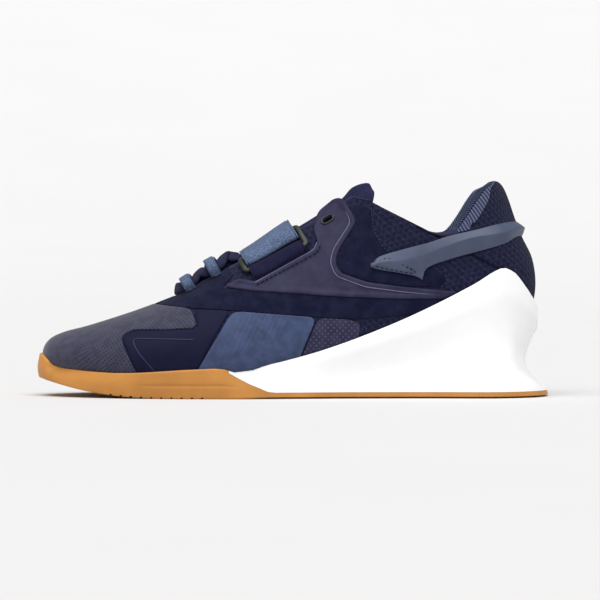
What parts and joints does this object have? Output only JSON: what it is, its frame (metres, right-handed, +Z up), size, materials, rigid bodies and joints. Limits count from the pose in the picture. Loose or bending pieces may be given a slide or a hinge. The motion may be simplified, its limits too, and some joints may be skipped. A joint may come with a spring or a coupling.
{
  "type": "weightlifting shoe",
  "caption": "Left weightlifting shoe with a low knit upper, rubber forefoot sole, tall rigid heel wedge, instep strap with ring, laces and a heel band.",
  "frame": {"origin": "on the floor plane, halfway along the sole and on the line of the heel's middle", "axes": "+X from toe to heel, +Y towards the inner side of the foot, +Z up from the floor"},
  "size_m": [0.3, 0.1054, 0.1285],
  "materials": {
    "gum_rubber": "satin gum rubber",
    "white_plastic": "smooth moulded plastic",
    "navy_textile": "matte woven textile",
    "foam": "matte foam under textile",
    "grey_microfibre": "matte perforated microfibre",
    "navy_film": "matte film",
    "slate_film": "satin film with fine ribs",
    "mauve_film": "satin film",
    "slate_rubber": "satin moulded rubber",
    "slate_webbing": "woven webbing",
    "ring_plastic": "satin moulded plastic",
    "navy_webbing": "woven webbing and lace"
  },
  "bodies": {
    "root": {"outsole": "gum_rubber", "midsole": "white_plastic", "upper": "navy_textile", "insole": "foam", "tongue": "navy_textile", "toe_cap": "grey_microfibre", "vamp": "navy_textile", "flank_lateral": "navy_film", "flank_medial": "navy_film", "saddle_lateral": "slate_film", "saddle_medial": "slate_film", "quarter_lateral": "mauve_film", "quarter_medial": "mauve_film", "heel_band": "slate_rubber", "strap": "slate_webbing", "strap_ring": "ring_plastic", "strap_webbing": "navy_webbing", "lace_loop_lateral_1": "slate_webbing", "lace_loop_lateral_2": "slate_webbing", "lace_loop_medial_1": "slate_webbing", "lace_loop_medial_2": "slate_webbing", "laces": "navy_webbing"}
  },
  "joints": []
}
